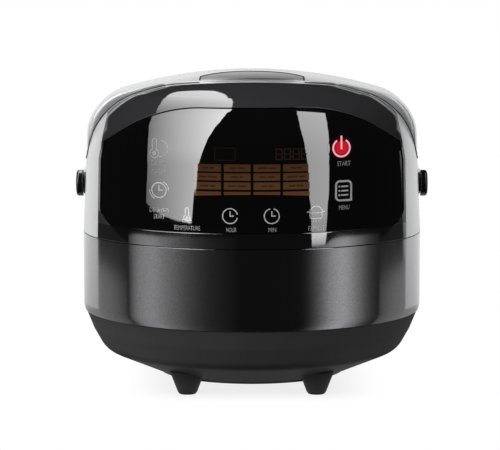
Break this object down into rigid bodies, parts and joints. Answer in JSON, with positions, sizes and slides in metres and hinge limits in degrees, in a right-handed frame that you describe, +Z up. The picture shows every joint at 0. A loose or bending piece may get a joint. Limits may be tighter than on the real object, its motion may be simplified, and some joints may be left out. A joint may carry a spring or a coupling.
{
  "type": "electric multicooker",
  "caption": "Electric multicooker: domed hinged lid with a release button, curved touch panel, pot over a sprung sensor and heater plate, fold-back carrying handle and tapered feet.",
  "frame": {"origin": "under the middle of the part, on the surface that it stands on", "axes": "+X to the right seen from the front, +Y to the rear, +Z up"},
  "size_m": [0.3168, 0.394, 0.2761],
  "materials": {
    "silver_shell": "silver lacquered plastic",
    "graphite_band": "graphite metallic lacquer",
    "black_base": "fine-grained black plastic",
    "black_plastic": "black moulded plastic",
    "foot_rubber": "black moulded rubber",
    "panel_charcoal": "charcoal lacquered plastic",
    "window_black": "black touch lens",
    "display_brown": "segment display",
    "circuit_board": "circuit board",
    "pot_coating": "dark non-stick coating on aluminium",
    "plain_steel": "plain steel",
    "cast_aluminium": "plain aluminium",
    "inlet_brass": "plated brass",
    "grey_plastic": "grey moulded plastic",
    "silicone": "silicone",
    "smoke_button": "dark grey gloss plastic",
    "knob_black": "black gloss plastic",
    "bail_silver": "silver lacquered plastic"
  },
  "bodies": {
    "body": {"base_shell": "black_base", "bottom_cover": "black_plastic", "base_screws": "plain_steel", "foot_front_left": "foot_rubber", "foot_front_right": "foot_rubber", "foot_rear_left": "foot_rubber", "foot_rear_right": "foot_rubber", "body_band": "graphite_band", "upper_shell": "silver_shell", "panel_frame": "panel_charcoal", "control_window": "window_black", "display_module": "display_brown", "control_board": "circuit_board", "power_board": "circuit_board", "board_shelf": "black_plastic", "inner_deck": "black_plastic", "latch_keeper": "plain_steel", "inner_pot": "pot_coating", "pot_collar": "black_plastic", "heat_shield": "plain_steel", "heater_plate": "cast_aluminium", "sensor_cup": "plain_steel", "sensor_spring": "plain_steel", "power_inlet": "black_plastic", "inlet_pins": "inlet_brass", "hinge_housing": "black_plastic", "hinge_pin": "plain_steel", "hinge_springs": "plain_steel", "handle_pivot_left": "black_plastic", "handle_pivot_right": "black_plastic"},
    "lid": {"lid_shell": "silver_shell", "lid_liner": "grey_plastic", "inner_lid": "cast_aluminium", "inner_lid_knob": "silicone", "lid_gasket": "silicone", "button_pan": "grey_plastic", "button_springs": "plain_steel", "latch_bracket": "plain_steel", "latch_pin": "plain_steel"},
    "release_button": {"release_button": "smoke_button"},
    "latch": {"latch_hook": "grey_plastic"},
    "steam_valve": {"steam_valve_cap": "smoke_button", "steam_valve_body": "grey_plastic", "steam_valve_seal": "silicone"},
    "pot_sensor": {"pot_sensor": "cast_aluminium"},
    "handle": {"handle_bail": "bail_silver", "handle_grip": "black_plastic", "handle_knob_left": "knob_black", "handle_knob_right": "knob_black"},
    "condensate_cup": {"condensate_cup": "grey_plastic"}
  },
  "joints": [
    {"name": "lid_hinge", "type": "hinge", "parent": "body", "child": "lid", "pos_m": [0, 0.171, 0.2], "axis": [-1, 0, 0], "range_deg": [0, 85]},
    {"name": "button_press", "type": "slide", "parent": "lid", "child": "release_button", "axis": [0, 0, -1], "range_m": [0, 0.003], "stiffness_N_per_m": 600, "springref_m": -0.002, "deforming": ["button_springs"]},
    {"name": "latch_pivot", "type": "hinge", "parent": "lid", "child": "latch", "pos_m": [0, -0.093, 0.2383], "axis": [-1, 0, 0], "range_deg": [0, 9]},
    {"name": "steam_valve_lift", "type": "slide", "parent": "lid", "child": "steam_valve", "axis": [0, 0, 1], "range_m": [0, 0.075]},
    {"name": "pot_sensor_press", "type": "slide", "parent": "body", "child": "pot_sensor", "axis": [0, 0, -1], "range_m": [0, 0.003], "stiffness_N_per_m": 600, "springref_m": -0.004, "deforming": ["sensor_spring"]},
    {"name": "handle_swing", "type": "hinge", "parent": "body", "child": "handle", "pos_m": [0, -0.018, 0.174], "axis": [1, 0, 0], "range_deg": [0, 90]},
    {"name": "condensate_cup_pull", "type": "slide", "parent": "body", "child": "condensate_cup", "axis": [0, 1, 0], "range_m": [0, 0.045]}
  ],
  "couplings": [
    {"joint": "latch_pivot", "follows": "button_press", "rad_per_m": 50}
  ]
}
